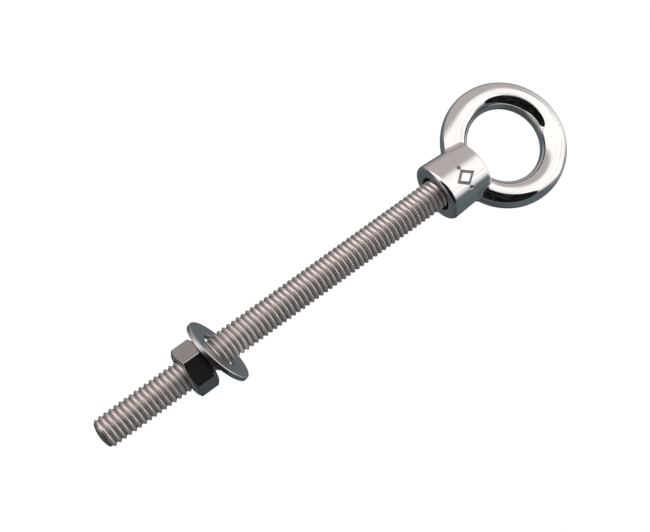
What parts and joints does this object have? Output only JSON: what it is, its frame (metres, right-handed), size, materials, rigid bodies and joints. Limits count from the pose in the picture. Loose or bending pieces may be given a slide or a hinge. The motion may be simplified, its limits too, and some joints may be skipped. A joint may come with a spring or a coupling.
{
  "type": "eye bolt",
  "caption": "Lifting eye bolt: round ring on a collar, long threaded rod screwed into it, hexagon nut and flat washer for fastening through a beam or panel.",
  "frame": {"origin": "on the bolt's axis, in the collar's seating face, where a beam or panel holds it", "axes": "+Z along the bolt from its tip to the ring; the ring lies in the XZ plane, so its hole runs along Y"},
  "size_m": [0.0336, 0.0176, 0.1414],
  "materials": {
    "polished_steel": "cast stainless steel, polished to a mirror",
    "rolled_steel": "rolled stainless steel thread, satin",
    "machined_steel": "machined stainless steel, satin",
    "stamped_steel": "stamped stainless steel sheet, tumbled smooth"
  },
  "bodies": {
    "eye_bolt": {"lifting_eye": "polished_steel", "threaded_rod": "rolled_steel"},
    "washer": {"flat_washer": "stamped_steel"},
    "nut": {"hex_nut": "machined_steel"}
  },
  "joints": [
    {"name": "nut_travel", "type": "slide", "parent": "eye_bolt", "child": "washer", "axis": [0, 0, 1], "range_m": [-0.02258, 0.06209]},
    {"name": "nut_turn", "type": "hinge", "parent": "washer", "child": "nut", "pos_m": [0, 0, -0.0745], "axis": [0, 0, 1], "range_deg": [-5760, 15840]}
  ],
  "couplings": [
    {"joint": "nut_travel", "follows": "nut_turn", "m_per_rad": 0.00022459}
  ]
}
